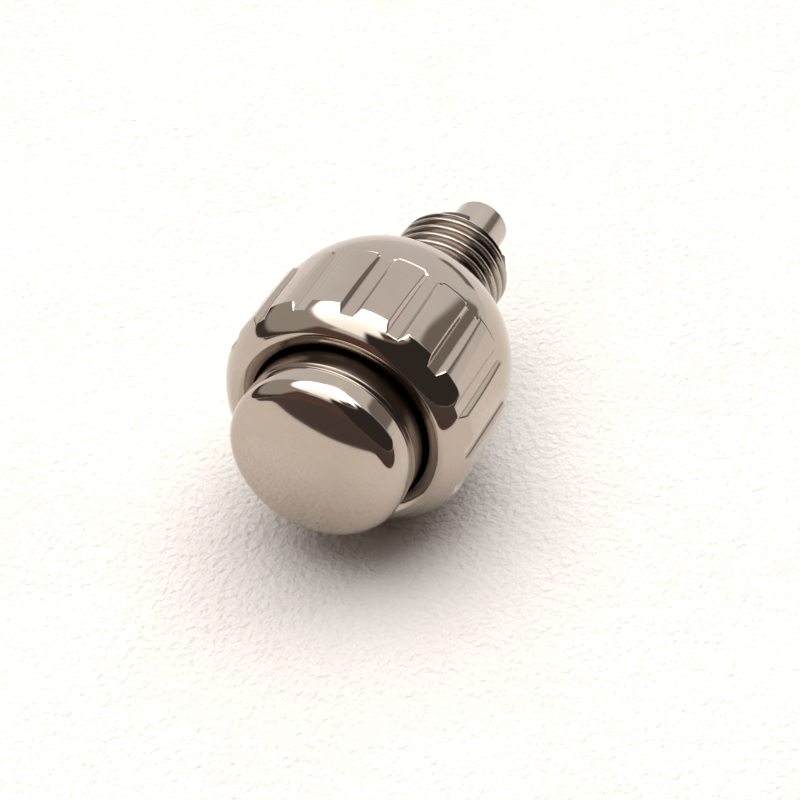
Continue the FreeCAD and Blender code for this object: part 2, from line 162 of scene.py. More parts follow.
def solid(name, radius, along, angle, closed=True):
    """A closed mesh from a grid of rows along a profile and columns around the axis. Radius and
    along are (rows, columns) arrays in millimetres. A profile that isn't closed starts and ends
    beside the axis, and a fan of triangles joins its first and last rows to the axis."""
    height, width = radius.shape
    points = np.stack([radius * np.cos(angle), along + 0 * radius, radius * np.sin(angle)], -1)
    points = points.reshape(-1, 3)
    down = np.arange(height if closed else height - 1)[:, None]
    side = np.arange(width)[None, :]
    under, beside = (down + 1) % height, (side + 1) % width
    corners = [(down, side), (under, side), (under, beside), (down, beside)]
    quads = np.stack([row * width + column for row, column in corners], -1)
    faces = quads.reshape(-1, 4).tolist()
    if not closed:
        ends = np.array([[0, along[0].mean(), 0], [0, along[-1].mean(), 0]])
        first = np.arange(width)
        last = first + (height - 1) * width
        tip = np.full(width, height * width)
        faces += np.stack([tip, first, np.roll(first, -1)], -1).tolist()
        faces += np.stack([tip + 1, np.roll(last, -1), last], -1).tolist()
        points = np.vstack([points, ends])
    return shaped(name, points, faces)


def around(count):
    """Equal steps of one whole turn, in radians."""
    return np.arange(count) * 2 * math.pi / count


def softly(a, b, blend, sign=-1):
    """The smaller of a and b, or the larger with sign 1, with the corner where they cross rounded
    over a width of blend: half their sum, less or plus half the root of the squares of their
    difference and of the blend."""
    return 0.5 * (a + b + sign * np.sqrt((a - b) ** 2 + blend**2))


def thread_depth(along, angle, start, pitch, flat, depth):
    """How deep a right-hand V groove is at each point. The groove's middle passes the X axis at
    start and moves back by a pitch a turn, and its depth falls off in a straight flank."""
    turns = (along - start) / pitch + angle / (2 * math.pi)
    off = np.abs(turns - np.round(turns)) * pitch
    slope = (pitch - 2 * flat) / (2 * depth)
    level = (pitch - flat) / 2 - off
    return np.clip(level / slope, 0, depth)


tube_front = front_of("pusher_tube")
tube_back = back_of("pusher_tube")
flange_radius = radius_of("pusher_tube")
flange_thickness = 0.55
lift_radius, lift_depth, lift_pitch = 1.5, 0.2, 0.35
case_radius, case_depth, case_pitch = 1.25, 0.16, 0.28
thread_flat, thread_softness = 0.06, 0.008
undercut = 0.02
tube_chamfer = 0.12
tube_wear = 0.008
spring_bore = 1.13
chamber_radius, chamber_front, chamber_back = 1.03, -1.56, -0.5
guide_radius = 0.62
gasket_recess_radius, gasket_recess = 1.53, 0.26
lift_undercut_width, case_undercut_width = 0.35, 0.3
lift_undercut_from = -flange_thickness - lift_undercut_width
lift_root = lift_radius - lift_depth - undercut
case_root = case_radius - case_depth - undercut

tube_line = walk(
    (spring_bore, tube_front),
    (lift_radius - tube_chamfer, tube_front),
    (lift_radius, tube_front + tube_chamfer),
    (lift_radius, lift_undercut_from),
    (lift_root, lift_undercut_from),
    (lift_root, -flange_thickness),
    (flange_radius, -flange_thickness),
    (flange_radius, 0),
    (gasket_recess_radius, 0),
    (gasket_recess_radius, -gasket_recess),
    (case_root, -gasket_recess),
    (case_root, case_undercut_width),
    (case_radius, case_undercut_width),
    (case_radius, tube_back - tube_chamfer),
    (case_radius - tube_chamfer, tube_back),
    (guide_radius, tube_back),
    (guide_radius, chamber_back),
    (chamber_radius, chamber_back),
    (chamber_radius, chamber_front),
    (spring_bore, chamber_front),
)

# Inside these radii lies a bore, which has no thread.
lift_inside, case_inside = 1.2, 1.06
margin = 0.02
lift_step, case_step = lift_pitch / 13, case_pitch / 18
lift_from, lift_to = tube_front + margin, lift_undercut_from + margin / 2
case_from, case_to = case_undercut_width - margin, tube_back - margin
tube_rows = rows(
    polished(tube_line, tube_wear),
    count=190,
    extra=[
        (lift_from, lift_to, lift_step, lift_inside, math.inf),
        (case_from, case_to, case_step, case_inside, math.inf),
    ],
)[:-1]
tube_angle = around(256)[None, :]
tube_out, tube_place = tube_rows[:, :1], tube_rows[:, 1:]
tube_along = tube_place + 0 * tube_angle
tube_radius = tube_out + 0 * tube_angle
lift_groove = lift_radius - thread_depth(
    tube_along, tube_angle, tube_front, lift_pitch, thread_flat, lift_depth
)
case_groove = case_radius - thread_depth(
    tube_along, tube_angle, case_undercut_width / 2, case_pitch, thread_flat, case_depth
)
in_lift = (tube_out > lift_inside) & (tube_place < lift_undercut_from + margin)
in_case = (tube_out > case_inside) & (tube_place > case_from)
tube_radius = np.where(in_lift, softly(tube_radius, lift_groove, thread_softness), tube_radius)
tube_radius = np.where(in_case, softly(tube_radius, case_groove, thread_softness), tube_radius)
tube = solid("tube_turned", tube_radius, tube_along, tube_angle)
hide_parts("pusher_tube")
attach(tube, "tube")


class Value:
    """A number in a material. Python's own operators on it add the Math nodes they stand for."""

    def __init__(self, tree, socket):
        self.tree = tree
        self.socket = socket

    def math(self, operation, *others):
        """Add one Math node, with this value as its first input and the others after it."""
        node = self.tree.nodes.new("ShaderNodeMath")
        node.operation = operation
        for place, item in enumerate((self, *others)):
            if isinstance(item, Value):
                self.tree.links.new(item.socket, node.inputs[place])
            else:
                node.inputs[place].default_value = item
        return Value(self.tree, node.outputs[0])

    def __add__(self, other):
        return self.math("ADD", other)

    __radd__ = __add__

    def __sub__(self, other):
        return self.math("SUBTRACT", other)

    def __rsub__(self, other):
        return (self * -1) + other

    def __mul__(self, other):
        return self.math("MULTIPLY", other)

    __rmul__ = __mul__

    def __truediv__(self, other):
        return self.math("DIVIDE", other)

    def within(self, low, high):
        """0 below low, 1 above high, and a smooth step between. Low may be above high: then it is
        1 below high and 0 above low."""
        node = self.tree.nodes.new("ShaderNodeMapRange")
        node.interpolation_type = "SMOOTHSTEP"
        swap = low > high
        self.tree.links.new(self.socket, node.inputs["Value"])
        node.inputs["From Min"].default_value = high if swap else low
        node.inputs["From Max"].default_value = low if swap else high
        node.inputs["To Min"].default_value = 1 if swap else 0
        node.inputs["To Max"].default_value = 0 if swap else 1
        return Value(self.tree, node.outputs["Result"])


def add_node(tree, kind, settings=None, **inputs):
    """One node. Settings are set first, then each named socket gets its value or its link. A name
    such as i6 stands for the socket of that number."""
    node = tree.nodes.new("ShaderNode" + kind)
    for key, setting in (settings or {}).items():
        setattr(node, key, setting)
    for key, item in inputs.items():
        socket = node.inputs[int(key[1:]) if key[1:].isdigit() else key.replace("_", " ")]
        if isinstance(item, Value):
            item = item.socket
        if isinstance(item, bpy.types.NodeSocket):
            tree.links.new(item, socket)
        else:
            socket.default_value = item
    return node


def mixed(tree, share, first, second):
    """The first colour where share is 0 and the second where it is 1."""
    node = add_node(tree, "Mix", {"data_type": "RGBA"}, i0=share, i6=first, i7=second)
    return node.outputs[2]


def new_material(name):
    """A material, the tree to build on and its Principled shader."""
    material = bpy.data.materials.new(name)
    material.use_nodes = True
    tree = material.node_tree
    return material, tree, tree.nodes["Principled BSDF"]


def noise(tree, scale, detail=3.0, stretch=(1, 1, 1)):
    """A soft random field on the piece with about scale bumps a millimetre, times the stretch
    along each axis."""
    where = add_node(tree, "TexCoord").outputs["Object"]
    size = [share * scale / MM for share in stretch]
    place = add_node(tree, "Mapping", Vector=where, Scale=size).outputs["Vector"]
    node = add_node(tree, "TexNoise", Vector=place, Scale=1.0, Detail=detail)
    return Value(tree, node.outputs["Fac"])


def place_on_piece(tree):
    """How far along the axis a point of the piece lies, and how far from it, in millimetres."""
    where = add_node(tree, "TexCoord").outputs["Object"]
    parts = add_node(tree, "SeparateXYZ", Vector=where)
    x, y, z = (Value(tree, parts.outputs[i]) / MM for i in range(3))
    return y, (x * x + z * z).math("SQRT")


def bumped(tree, shader, height, depth, strength=1.0):
    """Let a field of heights from 0 to 1 stand for marks of that depth in millimetres."""
    bump = add_node(tree, "Bump", Height=height, Distance=depth * MM, Strength=strength)
    tree.links.new(bump.outputs["Normal"], shader.inputs["Normal"])


def turned_marks(tree, pitch):
    """The fine grooves that a lathe's tool leaves round the axis, a pitch apart in millimetres,
    uneven as real ones are."""
    fine = noise(tree, 0.5 / pitch, 2.0, (0.02, 1, 0.02))
    coarse = noise(tree, 0.1 / pitch, 2.0, (0.05, 1, 0.05))
    return fine * 0.7 + coarse * 0.3


def steel(name, color, dark, roughness, spread, marks, depth, roots=None):
    """Bare steel: a metal whose colour and gloss vary a little from place to place, with tool
    marks as a bump. Marks is their pitch and depth their depth, in millimetres. Roots is a pair
    of radii: the steel turns darker from the outer one to the inner one and stays dark inside it,
    as in a thread's grooves."""
    material, tree, shader = new_material(name)
    cloud = noise(tree, 0.9, 4.0)
    shade = mixed(tree, cloud.within(0.35, 0.75), (*color, 1), (*dark, 1))
    if roots:
        # Darker steel inside the root radii: the thread's grooves and the bore.
        groove_dark_color = (0.17, 0.14, 0.12, 1)
        plain_from, dark_to = roots[1], roots[0]
        from_axis = place_on_piece(tree)[1]
        shade = mixed(tree, from_axis.within(plain_from, dark_to), shade, groove_dark_color)
    tree.links.new(shade, shader.inputs["Base Color"])
    tree.links.new((cloud * spread + (roughness - spread / 2)).socket, shader.inputs["Roughness"])
    shader.inputs["Metallic"].default_value = 1.0
    bumped(tree, shader, turned_marks(tree, marks), depth)
    return material


def dress(piece, material):
    """Give a piece its one material."""
    piece.data.materials.clear()
    piece.data.materials.append(material)


machined = steel(
    "machined_steel_tube",
    color=(0.50, 0.44, 0.39),
    dark=(0.42, 0.365, 0.32),
    roughness=0.16,
    spread=0.08,
    marks=0.02,
    depth=0.0006,
    roots=(case_radius - case_depth * 0.75, case_radius - case_depth * 0.15),
)
dress(tube, machined)


# Case gasket
# A rubber ring that sits in a groove under the flange and stands out of it a little, so that it
# is squeezed against the case. It is moulded from black nitrile rubber.
def cord_ring(node, body, section):
    """A ring of round section, in the place of a node: one circle carried round another. Section
    is the radius of its cord."""
    middle = radius_of(node) - section
    place = front_of(node) + section
    turn = around(28)[:, None]
    angle = around(96)[None, :]
    radius = middle + section * np.cos(turn) + 0 * angle
    along = place + section * np.sin(turn) + 0 * angle
    piece = solid(node + "_ring", radius, along, angle)
    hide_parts(node)
    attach(piece, body)
    return piece


def rubber(name, color, worn):
    """Moulded rubber, matt, with a grey bloom in patches and a fine grain."""
    material, tree, shader = new_material(name)
    bloom = noise(tree, 2.2, 5.0)
    shade = mixed(tree, bloom.within(0.4, 0.8), (*color, 1), (*worn, 1))
    tree.links.new(shade, shader.inputs["Base Color"])
    tree.links.new((bloom * 0.2 + 0.42).socket, shader.inputs["Roughness"])
    bumped(tree, shader, noise(tree, 26.0), 0.002, strength=0.6)
    return material


nitrile = rubber("black_nitrile", (0.012, 0.012, 0.012), (0.035, 0.034, 0.033))
case_gasket_section = 0.18
case_gasket = cord_ring("case_gasket", "tube", case_gasket_section)
dress(case_gasket, nitrile)


# Stem seals, their spacer and the washer that holds them
# Two rubber rings on the stem keep water out. A steel spacer stands between them, and a washer
# closes the chamber and carries the spring.
seal_section = 0.2
for seal_node in ("outer_stem_seal", "inner_stem_seal"):
    seal = cord_ring(seal_node, "tube", seal_section)
    dress(seal, nitrile)


def flat_ring(node, body, inner, wear=0.008):
    """A ring cut from sheet or bar, in the place of a node, with its four edges broken."""
    front, back, outer = front_of(node), back_of(node), radius_of(node)
    section = walk((inner, front), (outer, front), (outer, back), (inner, back))
    line = rows(polished(section, wear), count=60)[:-1]
    angle = around(160)[None, :]
    piece = solid(node + "_ring", line[:, :1] + 0 * angle, line[:, 1:] + 0 * angle, angle)
    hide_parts(node)
    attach(piece, body)
    return piece


turned = steel(
    "turned_steel_ring",
    color=(0.55, 0.48, 0.43),
    dark=(0.47, 0.40, 0.35),
    roughness=0.22,
    spread=0.08,
    marks=0.03,
    depth=0.0008,
)
stem_hole = 0.64
for ring_node in ("gland_washer", "seal_spacer"):
    steel_ring = flat_ring(ring_node, "tube", stem_hole)
    dress(steel_ring, turned)


# Return spring
# One coil of hard steel wire, ground flat at both ends. It stands on the washer and pushes the
# head out.
def bar(name, points, outwards):
    """A bar from a (stations, ring, 3) array in millimetres: a ring of points carried from
    station to station, with one flat face on each end. Outwards is 1, or -1 where the ring runs
    the other way round."""
    stations, width = points.shape[:2]
    down = np.arange(stations - 1)[:, None] * width
    side = np.arange(width)[None, :]
    beside = (side + 1) % width
    under = down + width
    quads = np.stack([down + side, down + beside, under + beside, under + side], -1)
    faces = quads.reshape(-1, 4)[:, ::outwards].tolist()
    ring = np.arange(width)
    for end in (ring[::-1], ring + (stations - 1) * width):
        faces.append(end[::outwards].tolist())
    return shaped(name, points.reshape(-1, 3), faces)


spring_wire = 0.11
spring_turns = 7
stations_per_turn = 72
spring_front, spring_back = front_of("return_spring"), back_of("return_spring")
spring_radius = radius_of("return_spring") - spring_wire
spring_span = spring_back - spring_front
turn = np.linspace(0, spring_turns, spring_turns * stations_per_turn)[:, None]
lead = -turn * 2 * math.pi
wire_angle = around(20)[None, :]
spring_out = spring_radius + spring_wire * np.cos(wire_angle)
spring_y = spring_front + turn / spring_turns * spring_span + spring_wire * np.sin(wire_angle)
spring_y = np.clip(spring_y, spring_front, spring_back)
coil = np.stack([spring_out * np.cos(lead), spring_y, spring_out * np.sin(lead)], -1)
spring = bar("spring_coil", coil, outwards=-1)
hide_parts("return_spring")
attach(spring, "tube")
head_push = next(joint for joint in frame["joints"] if joint["name"] == "head_push")
push_travel = head_push["range_m"][1] / MM
(spring_span - push_travel) / spring_span
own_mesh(spring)
wire_steel = steel(
    "spring_wire_steel",
    color=(0.38, 0.33, 0.29),
    dark=(0.30, 0.26, 0.23),
    roughness=0.25,
    spread=0.08,
    marks=0.05,
    depth=0.0006,
)
dress(spring, wire_steel)


# Stem
# A ground steel pin. Its thin front end is bonded in the head's boss, a neck near the other end
# takes the clip, and the bare tip past the thread pushes the movement's lever.
stem_front, stem_back, stem_radius = front_of("stem"), back_of("stem"), radius_of("stem")
spigot_radius, spigot_length = 0.5, 0.66
spigot_end = stem_front + spigot_length
neck_radius = 0.42
neck_play = 0.02
neck_front = front_of("retaining_clip")
neck_back = back_of("retaining_clip") + neck_play
tip_chamfer = 0.1
stem_line = walk(
    (0, stem_front),
    (spigot_radius, stem_front),
    (spigot_radius, spigot_end),
    (stem_radius, spigot_end),
    (stem_radius, neck_front),
    (neck_radius, neck_front),
    (neck_radius, neck_back),
    (stem_radius, neck_back),
    (stem_radius, stem_back - tip_chamfer),
    (stem_radius - tip_chamfer, stem_back),
    (0, stem_back),
)
stem_wear = 0.01
stem_rows = rows(polished(stem_line, stem_wear, closed=False), count=200)[1:-1]
angle = around(192)[None, :]
stem = solid(
    "stem_ground",
    stem_rows[:, :1] + 0 * angle,
    stem_rows[:, 1:] + 0 * angle,
    angle,
    closed=False,
)
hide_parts("stem")
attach(stem, "head")
ground = steel(
    "ground_steel_stem",
    color=(0.52, 0.46, 0.41),
    dark=(0.47, 0.41, 0.36),
    roughness=0.14,
    spread=0.05,
    marks=0.012,
    depth=0.0003,
)
dress(stem, ground)


# Retaining clip
# A sprung ring stamped from sheet steel, open on one side, that snaps into the stem's neck and
# stops the head from coming out of the tube.
clip_front, clip_back = front_of("retaining_clip"), back_of("retaining_clip")
clip_outer, clip_inner = 1.02, neck_radius + 0.01
clip_mouth_half, clip_mouth_turn = math.radians(34), math.radians(45)
bite_at, bite_radius = math.radians(120), 0.17
clip_step = np.linspace(clip_mouth_half, 2 * math.pi - clip_mouth_half, 241)[:, None]


def bitten(angle, inner):
    """The clip's inner edge: a circle with two round bites, where a bite's far side from the
    axis follows from the law of cosines."""
    edge = np.full_like(angle, inner)
    for middle in (bite_at, 2 * math.pi - bite_at):
        off = angle - middle
        reach = bite_radius**2 - (inner * np.sin(off)) ** 2
        far = inner * np.cos(off) + np.sqrt(np.clip(reach, 0, None))
        edge = np.where(reach > 0, np.maximum(edge, far), edge)
    return edge


def squarish(wave, squareness=5.0):
    """A sine or cosine pushed towards 1 and -1, by a power of two over the squareness, so that
    the pair draws a square with round corners in place of a circle."""
    return np.sign(wave) * np.abs(wave) ** (2 / squareness)


clip_turn = around(32)[None, :]
inner_edge = bitten(clip_step, clip_inner)
clip_middle, clip_half = (clip_outer + inner_edge) / 2, (clip_outer - inner_edge) / 2
sheet_middle, sheet_half = (clip_front + clip_back) / 2, (clip_back - clip_front) / 2
clip_r = clip_middle + clip_half * squarish(np.cos(clip_turn))
clip_y = sheet_middle + sheet_half * squarish(np.sin(clip_turn)) + 0 * clip_r
clip_a = clip_step + clip_mouth_turn
clip_points = np.stack([clip_r * np.cos(clip_a), clip_y, clip_r * np.sin(clip_a)], -1)
clip = bar("clip_stamped", clip_points, outwards=1)
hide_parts("retaining_clip")
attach(clip, "head")
blued = steel(
    "clip_blued_steel",
    color=(0.10, 0.085, 0.075),
    dark=(0.05, 0.042, 0.037),
    roughness=0.35,
    spread=0.1,
    marks=0.05,
    depth=0.001,
)
dress(clip, blued)


# Push head
# What the finger presses: a low dome with a rounded edge and a plain side, then a small step and
# a skirt that slides in the collar. Turned from steel and polished like a mirror all over.
cap_front, cap_back, cap_radius = front_of("head_cap"), back_of("head_cap"), radius_of("head_cap")
cap_plate, cap_length, cap_edge, cap_edge_back = 0.6, 0.88, 0.36, 0.46
dome = 6.0
skirt_radius, skirt_wall = 1.86, 0.28
step_depth, step_width, rear_bevel = 0.05, 0.07, 0.04
boss_radius, boss_length, boss_floor = 0.75, 0.5, 0.42
dome_sine = (cap_radius - cap_edge) / (dome - cap_edge)
dome_cosine = math.sqrt(1 - dome_sine**2)
dome_rise = dome * (1 - dome_cosine)
edge_end = cap_front + cap_edge_back
apex = edge_end - cap_edge * dome_cosine - dome_rise
dome_edge = (dome * dome_sine, apex + dome_rise)
cap_rear = cap_front + cap_length
behind = cap_rear + step_width
plate_back = cap_front + cap_plate
boss_end = plate_back + boss_length
cap_line = np.vstack(
    [
        curve((0, apex), dome_edge, dome, count=60),
        curve(dome_edge, (cap_radius, edge_end), cap_edge)[1:],
        walk(
            (cap_radius, cap_rear - rear_bevel),
            (cap_radius - rear_bevel, cap_rear),
            (skirt_radius - step_depth, cap_rear),
            (skirt_radius - step_depth, behind),
            (skirt_radius - rear_bevel, behind),
            (skirt_radius, behind + rear_bevel),
            (skirt_radius, cap_back),
            (skirt_radius - skirt_wall, cap_back),
            (skirt_radius - skirt_wall, plate_back),
            (boss_radius, plate_back),
            (boss_radius, boss_end),
            (spigot_radius, boss_end),
            (spigot_radius, cap_front + boss_floor),
            (0, cap_front + boss_floor),
        ),
    ]
)
cap_wear = 0.012
cap_rows = rows(polished(cap_line, cap_wear, closed=False), count=230, close_up=0.6)[1:-1]
angle = around(320)[None, :]
cap = solid(
    "cap_polished",
    cap_rows[:, :1] + 0 * angle,
    cap_rows[:, 1:] + 0 * angle,
    angle,
    closed=False,
)
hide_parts("head_cap")
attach(cap, "head")


def mirror_steel(name, color, dark, recess):
    """Polished stainless steel: a near mirror. Faint cloudiness in its gloss, hair-thin scratches
    along and across, and the slow waves that a polishing wheel leaves. Recess is (radius, front,
    back) in millimetres: painted shade darkens the steel inside that radius and between those
    places along the axis, where the bore lies in shadow, and the gloss is hazier there."""
    material, tree, shader = new_material(name)
    along, from_axis = place_on_piece(tree)
    cloud = noise(tree, 0.7, 4.0)
    shade = mixed(tree, cloud.within(0.3, 0.8), (*color, 1), (*dark, 1))
    reach, front, back = recess
    # Painted shade: a mottled brown-grey darkening inside the recess, where the bore lies in shadow.
    painted_shade_color = (0.27, 0.225, 0.19, 1)
    edge, front_fade, back_fade = 0.03, 0.05, 0.3
    shade_mottle = noise(tree, 1.1, 3.0, (1, 0.5, 1))
    painted_recess_shade = from_axis.within(reach + edge, reach - edge) * along.within(front, front + front_fade)
    painted_recess_shade = painted_recess_shade * along.within(back + back_fade, back) * (shade_mottle.within(0.25, 0.62) * 0.5 + 0.5)
    shade = mixed(tree, painted_recess_shade, shade, painted_shade_color)
    tree.links.new(shade, shader.inputs["Base Color"])
    gloss, cloudy, scratched, shade_haze = 0.045, 0.03, 0.03, 0.16
    long_scratch = noise(tree, 14.0, 2.0, (1, 0.05, 0.3)).within(0.60, 0.72)
    cross_scratch = noise(tree, 11.0, 2.0, (0.06, 1, 0.9)).within(0.62, 0.74)
    haze = cloud * cloudy + gloss + long_scratch * scratched + cross_scratch * scratched
    haze = haze + painted_recess_shade * shade_haze
    tree.links.new(haze.socket, shader.inputs["Roughness"])
    shader.inputs["Metallic"].default_value = 1.0
    wave_depth = 0.0022
    bumped(tree, shader, noise(tree, 0.8, 1.0), wave_depth)
    return material


steel_bright, steel_dull = (0.50, 0.432, 0.375), (0.46, 0.392, 0.335)
no_end = 9.0
# On the head, painted shade darkens the skirt behind the step, which sits in the collar's bore.
cap_polish = mirror_steel(
    "polished_steel_head", steel_bright, steel_dull, (cap_radius, cap_rear + 0.02, no_end)
)
dress(cap, cap_polish)


# Locking collar
# The knurled nut that locks the head when it is screwed home. Turned from steel, with sixteen
# milled flutes between raised lands, a tapered back, and polished all over.
collar_front, collar_back = front_of("locking_collar"), back_of("locking_collar")
collar_length = collar_back - collar_front
land_radius, land_front, land_back, land_step = 2.73, 0.56, 2.4, 0.03
land_front_drop, land_back_drop, land_crown, land_corner = 0.02, 0.05, 30.0, 0.09
shoulder_bulge, tail_bulge = 1.05, 2.15
groove_depth, groove_half, groove_flank = 0.116, 0.125, math.radians(50)
floor_radius = land_radius - groove_depth
groove_foot = math.atan(groove_half / floor_radius)
bore_radius, bore_bevel, bore_bevel_depth = skirt_radius + 0.08, 0.23, 0.115
rim_width, rim_flat, rim_bevel = 0.2, 0.13, 0.04
rim_inner = bore_radius + bore_bevel
rim_outer = rim_inner + rim_width
back_radius, back_bevel = 2.12, 0.03
flange_room = flange_radius + 0.07
nut_bore = lift_radius - lift_depth + 0.04
nut_front, nut_back = 2.285, 3.35
flutes, flute_turn = 16, math.radians(1.4)
land_start = (land_radius - land_front_drop, land_front)
land_finish = (land_radius - land_back_drop, land_back)
collar_line = np.vstack(
    [
        curve((rim_outer, rim_bevel), land_start, shoulder_bulge),
        curve(land_start, land_finish, land_crown)[1:],
        curve(
            (floor_radius, land_back + land_step),
            (back_radius, collar_length - back_bevel),
            tail_bulge,
        ),
        walk(
            (back_radius - back_bevel, collar_length),
            (flange_room, collar_length),
            (flange_room, nut_back),
            (nut_bore, nut_back),
            (nut_bore, nut_front),
            (bore_radius, nut_front),
            (bore_radius, bore_bevel_depth),
            (rim_inner, 0),
            (rim_inner + rim_flat, 0),
        ),
    ]
) + np.array([0, collar_front])

# More rows run over the shoulder, over the step behind the lands and over the inside thread.
shoulder_from, shoulder_to, shoulder_step = 0.12, land_front + 0.04, 0.014
foot_from, foot_to, foot_step = land_back - 0.06, land_back + 0.12, 0.009
nut_margin, nut_inner, nut_outer = 0.03, 1.2, 1.6
nut_from, nut_to = nut_front + nut_margin, nut_back - nut_margin
close_stretches = [
    (shoulder_from, shoulder_to, shoulder_step, rim_outer, math.inf),
    (foot_from, foot_to, foot_step, rim_outer, math.inf),
    (nut_from, nut_to, lift_pitch / 12, nut_inner, nut_outer),
]
collar_wear = 0.013
collar_rows = rows(
    polished(collar_line, collar_wear),
    count=112,
    close_up=0.72,
    extra=[(collar_front + low, collar_front + high, *rest) for low, high, *rest in close_stretches],
)[:-1]
row_r, row_y = collar_rows[:, :1], collar_rows[:, 1:] - collar_front


def flute_columns(radius):
    """Angles from a groove's middle to the next land's middle, one row for each radius, and where
    the groove's flank ends at the top. Columns crowd at the foot and at the top of the flank, so
    both edges stay crisp: the flank is a plane, and it meets the radius where the sine of its
    angle less the flank's says so."""
    plane = groove_half * math.cos(groove_flank) - floor_radius * math.sin(groove_flank)
    near = np.radians([0.22, 0.5])
    least_flank = near[1] * 3.2
    top = groove_flank + np.arcsin(plane / np.maximum(radius, floor_radius))
    top = np.maximum(top, groove_foot + least_flank)
    half_pitch = math.pi / flutes
    feet = [0 * top, 0 * top + groove_foot * 0.55, groove_foot - near[::-1]]
    feet += [groove_foot + 0 * top, groove_foot + near]
    tops = [(groove_foot + top) / 2, top - near[::-1], top, top + near, top + near[1] * 2]
    lands = [top + (half_pitch - top) * share for share in (0.45, 0.72, 1.0)]
    wide = [column + 0 * top for column in feet + tops + lands]
    return np.concatenate(wide, 1), top


half_flute, groove_top = flute_columns(row_r)
off_groove = np.concatenate([-half_flute[:, -2:0:-1], half_flute], 1)
flute_middles = np.arange(flutes) * 2 * math.pi / flutes - flute_turn
collar_angle = np.concatenate([middle + off_groove for middle in flute_middles], 1)
off_groove = np.tile(np.abs(off_groove), (1, flutes))

# A groove has a flat floor, two plane flanks and a fine line along each foot.
foot_line_depth, foot_line_width = 0.014, np.radians(0.2)
edge_softness, least_share, full_height = 0.016, 0.02, 0.06
groove_floor = floor_radius / np.cos(off_groove)
groove_wall = (floor_radius * math.tan(groove_flank) - groove_half) / (
    np.cos(off_groove) * math.tan(groove_flank) - np.sin(off_groove)
)
groove = softly(groove_floor, groove_wall, edge_softness, sign=1)
groove -= foot_line_depth * np.exp(-(((off_groove - groove_foot) / foot_line_width) ** 2))
relief_depth, relief_width = 0.022, 0.022
fluted = (row_r > rim_inner) & (row_y < land_back + land_step + relief_width * 2)
above_floor = np.clip((row_r - floor_radius) / full_height, least_share, 1)
collar_r = row_r + 0 * collar_angle
collar_r = np.where(fluted, softly(collar_r, groove, edge_softness * above_floor), collar_r)

# A land ends in two round corners, with a shallow relief cut into the taper behind it.
corner_reach = 0.12
land_end = land_back + land_step / 2
into_corner = np.clip(land_corner - (off_groove - groove_top) * land_radius, 0, land_corner)
corner_cut = land_corner - np.sqrt(land_corner**2 - into_corner**2)
near_end = np.exp(-(((row_y - land_end) / corner_reach) ** 2)) * (row_r > back_radius)
from_foot = row_y - land_back - land_step - relief_width
on_land = np.clip((off_groove - groove_foot) / (groove_top - groove_foot), 0, 1)
land_relief = relief_depth * np.exp(-((from_foot / relief_width) ** 2)) * on_land
collar_r = collar_r - land_relief * (row_r > back_radius)
collar_y = collar_rows[:, 1:] - corner_cut * near_end

# The inside thread lies half a pitch off the tube's, so that crest stands in groove.
lift_phase = tube_front + lift_pitch / 2
nut_groove = nut_bore + thread_depth(
    collar_y, collar_angle, lift_phase, lift_pitch, thread_flat, lift_depth
)
threaded = (row_r < nut_outer) & (row_y > nut_front) & (row_y < nut_back)
collar_r = np.where(threaded, softly(collar_r, nut_groove, thread_softness, sign=1), collar_r)
collar = solid("collar_fluted", collar_r, collar_y, collar_angle)
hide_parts("locking_collar")
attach(collar, "collar")
# Painted shade darkens the bore inside the rim, which lies in shadow.
collar_polish = mirror_steel(
    "polished_steel_collar",
    steel_bright,
    steel_dull,
    (rim_inner - 0.02, collar_front + 0.05, collar_back),
)
dress(collar, collar_polish)


# Lock gasket
# A flat ring in the bottom of the collar's bore, round the tube. It is cut from sheet rubber and
# moves out with the collar.
gasket_hole, gasket_wear = 1.55, 0.02
lock_gasket = flat_ring(
    "lock_gasket", "lift_ring", gasket_hole, wear=gasket_wear
)
dress(lock_gasket, nitrile)


# Floor
# A pale sheet with a fine pebbled grain, like bookbinder's cloth, on which the collar lies. A
# dark brown card lies on it just below the picture as painted shade: it stands in for the shadow
# that falls on the sheet towards the camera, and the head mirrors it over its lower half.
floor_level = -collar_r.max()
floor_reach = 600.0
floor_corners = np.array([(-1, -1, 0), (1, -1, 0), (1, 1, 0), (-1, 1, 0)]) * floor_reach
floor = shaped("floor", floor_corners + np.array([0, 0, floor_level]), [(0, 1, 2, 3)])
pale_sheet, tree, shader = new_material("pale_floor")
cloud = noise(tree, 0.25)
sheet_dark, sheet_light = (0.80, 0.76, 0.725, 1), (0.83, 0.795, 0.765, 1)
tone = mixed(tree, cloud.within(0.3, 0.7), sheet_dark, sheet_light)
tree.links.new(tone, shader.inputs["Base Color"])
shader.inputs["Roughness"].default_value = 0.75
pebbles = noise(tree, 7.0, 2.0, (1, 0.8, 1)) * 0.75 + noise(tree, 2.0, 2.0) * 0.5
bumped(tree, shader, pebbles, 0.14, strength=0.85)
dress(floor, pale_sheet)

# The card runs towards the camera, which stands this far round from the head's end.
axis_turn = math.radians(23.5)
toward = np.array([math.sin(axis_turn), -math.cos(axis_turn), 0])
aside = np.array([math.cos(axis_turn), math.sin(axis_turn), 0])
card_near, card_far, card_half, card_lift = 12.5, 600.0, 300.0, 0.05
card_level = np.array([0, 0, floor_level + card_lift])
card_corners = [(card_near, -1), (card_near, 1), (card_far, 1), (card_far, -1)]
card_points = [toward * d + aside * card_half * side + card_level for d, side in card_corners]
card = shaped("card", np.array(card_points), [(3, 2, 1, 0)])
shade_card_material, tree, shader = new_material("shadow_standin_card")
# Painted shade: the card's dark brown stands in for shadow on the sheet, for the head to mirror.
shader.inputs["Base Color"].default_value = (0.06, 0.038, 0.031, 1)
shader.inputs["Roughness"].default_value = 0.9
dress(card, shade_card_material)


